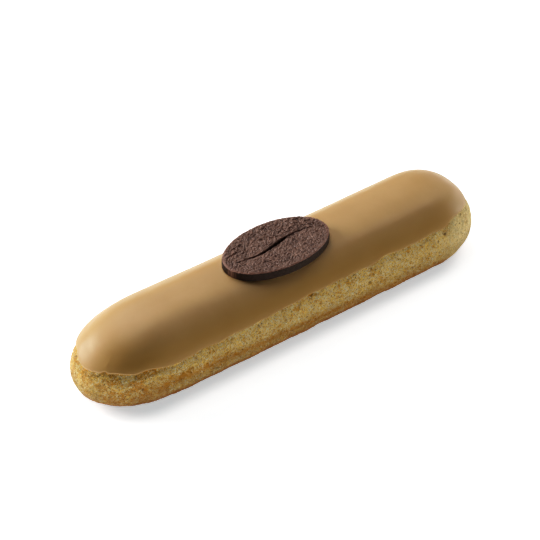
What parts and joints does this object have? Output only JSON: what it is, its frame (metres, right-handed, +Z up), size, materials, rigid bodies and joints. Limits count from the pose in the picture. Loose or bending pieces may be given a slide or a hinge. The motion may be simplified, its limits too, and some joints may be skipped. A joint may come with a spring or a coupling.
{
  "type": "coffee eclair",
  "caption": "Coffee eclair: a finger of choux pastry with satin coffee fondant over its upper half and a flat oval chocolate plaque shaped like a coffee bean on its crest.",
  "frame": {"origin": "middle of the flat underside, under the centre of the whole outline", "axes": "+X along the length towards the squarer end, +Y towards the side away from the picture's camera, +Z up"},
  "size_m": [0.14, 0.0324, 0.0274],
  "materials": {
    "choux": "baked crust, matt and finely porous, golden with a browner foot",
    "icing": "coffee fondant, set to a satin sheen",
    "chocolate": "dark chocolate with a rough cast top and a satin sheen"
  },
  "bodies": {
    "root": {"choux": "choux", "coffee_icing": "icing", "bean_plaque": "chocolate"}
  },
  "joints": []
}
